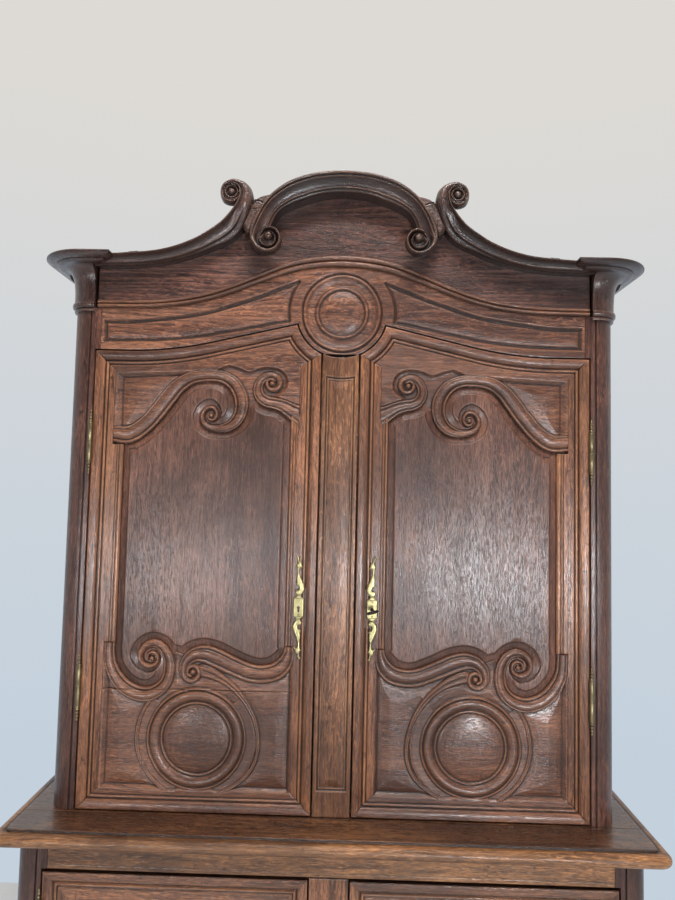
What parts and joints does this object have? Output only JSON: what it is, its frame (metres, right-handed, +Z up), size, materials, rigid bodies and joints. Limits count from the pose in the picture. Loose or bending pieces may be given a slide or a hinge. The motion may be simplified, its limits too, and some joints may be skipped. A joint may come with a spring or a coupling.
{
  "type": "two-part buffet",
  "caption": "Two-part cupboard: tall upper cupboard with carved doors under a scrolled arched cornice, on a lower cupboard with a table top and panelled doors",
  "frame": {"origin": "centre of the footprint of the whole piece, on the floor", "axes": "+Z up, doors face -Y, +X to the right of someone who faces the doors"},
  "size_m": [1.45, 0.56, 2.416],
  "materials": {
    "oak_frame": "waxed oak, mid brown, open grain, worn satin",
    "oak_carved": "waxed oak, darker in the carved hollows, worn on the high edges",
    "oak_panel": "waxed oak, dark brown, vertical grain, satin",
    "oak_dark": "waxed oak, very dark brown, satin to gloss",
    "oak_table": "waxed oak, worn lighter on the front edge",
    "oak_inside": "plain unwaxed oak, matt",
    "brass": "old polished brass, dull in the hollows",
    "iron": "old dark iron, rubbed on the edges"
  },
  "bodies": {
    "root": {"base_front_posts": "oak_frame", "base_back_posts": "oak_inside", "base_centre_post": "oak_frame", "base_frieze_rail": "oak_frame", "base_apron": "oak_frame", "base_side_rails": "oak_frame", "base_side_panels": "oak_panel", "base_back": "oak_inside", "base_floor_board": "oak_inside", "table_top": "oak_table", "upper_front_posts": "oak_frame", "upper_back_posts": "oak_inside", "upper_centre_post": "oak_frame", "upper_traverse": "oak_carved", "upper_side_rails": "oak_frame", "upper_side_panels": "oak_panel", "upper_back": "oak_inside", "upper_floor_board": "oak_inside", "upper_top_board": "oak_inside", "shelves": "oak_inside", "shelf_cleats": "oak_inside", "frieze_board": "oak_carved", "curved_bead": "oak_carved", "cornice_sweep_left": "oak_dark", "cornice_sweep_right": "oak_dark", "cornice_arch": "oak_dark", "cornice_corner_blocks": "oak_dark", "corner_capitals": "oak_dark", "side_cornices": "oak_dark", "hinge_pins": "brass"},
    "left_door": {"left_door_stiles": "oak_frame", "left_door_top_rail": "oak_carved", "left_door_bottom_rail": "oak_carved", "left_door_panel": "oak_panel", "left_door_hinge_sleeves": "brass", "left_door_lock": "iron", "left_door_escutcheon": "brass"},
    "left_bolt": {"left_door_bolt": "iron"},
    "right_door": {"right_door_stiles": "oak_frame", "right_door_top_rail": "oak_carved", "right_door_bottom_rail": "oak_carved", "right_door_panel": "oak_panel", "right_door_hinge_sleeves": "brass", "right_door_lock": "iron", "right_door_escutcheon": "brass"},
    "right_bolt": {"right_door_bolt": "iron"},
    "key": {"key": "iron"},
    "lower_left_door": {"lower_left_door_frame": "oak_frame", "lower_left_door_panel": "oak_panel", "lower_left_door_hinge_sleeves": "brass", "lower_left_door_lock": "iron", "lower_left_door_escutcheon": "brass"},
    "lower_left_bolt": {"lower_left_door_bolt": "iron"},
    "lower_right_door": {"lower_right_door_frame": "oak_frame", "lower_right_door_panel": "oak_panel", "lower_right_door_hinge_sleeves": "brass", "lower_right_door_lock": "iron", "lower_right_door_escutcheon": "brass"},
    "lower_right_bolt": {"lower_right_door_bolt": "iron"}
  },
  "joints": [
    {"name": "left_door_hinge", "type": "hinge", "parent": "root", "child": "left_door", "pos_m": [-0.593, -0.1755, 1.4], "axis": [0, 0, -1], "range_deg": [0, 165]},
    {"name": "right_door_hinge", "type": "hinge", "parent": "root", "child": "right_door", "pos_m": [0.593, -0.1755, 1.4], "axis": [0, 0, 1], "range_deg": [0, 165]},
    {"name": "lower_left_door_hinge", "type": "hinge", "parent": "root", "child": "lower_left_door", "pos_m": [-0.64, -0.2225, 0.5], "axis": [0, 0, -1], "range_deg": [0, 165]},
    {"name": "lower_right_door_hinge", "type": "hinge", "parent": "root", "child": "lower_right_door", "pos_m": [0.64, -0.2225, 0.5], "axis": [0, 0, 1], "range_deg": [0, 165]},
    {"name": "key_turn", "type": "hinge", "parent": "right_door", "child": "key", "pos_m": [0.086, -0.168, 1.395], "axis": [0, -1, 0], "range_deg": [0, 180]},
    {"name": "left_bolt_slide", "type": "slide", "parent": "left_door", "child": "left_bolt", "axis": [1, 0, 0], "range_m": [0, 0.012]},
    {"name": "right_bolt_slide", "type": "slide", "parent": "right_door", "child": "right_bolt", "axis": [-1, 0, 0], "range_m": [0, 0.012]},
    {"name": "lower_left_bolt_slide", "type": "slide", "parent": "lower_left_door", "child": "lower_left_bolt", "axis": [1, 0, 0], "range_m": [0, 0.012]},
    {"name": "lower_right_bolt_slide", "type": "slide", "parent": "lower_right_door", "child": "lower_right_bolt", "axis": [-1, 0, 0], "range_m": [0, 0.012]}
  ],
  "couplings": [
    {"joint": "key_turn", "follows": "right_bolt_slide", "rad_per_m": 261}
  ]
}
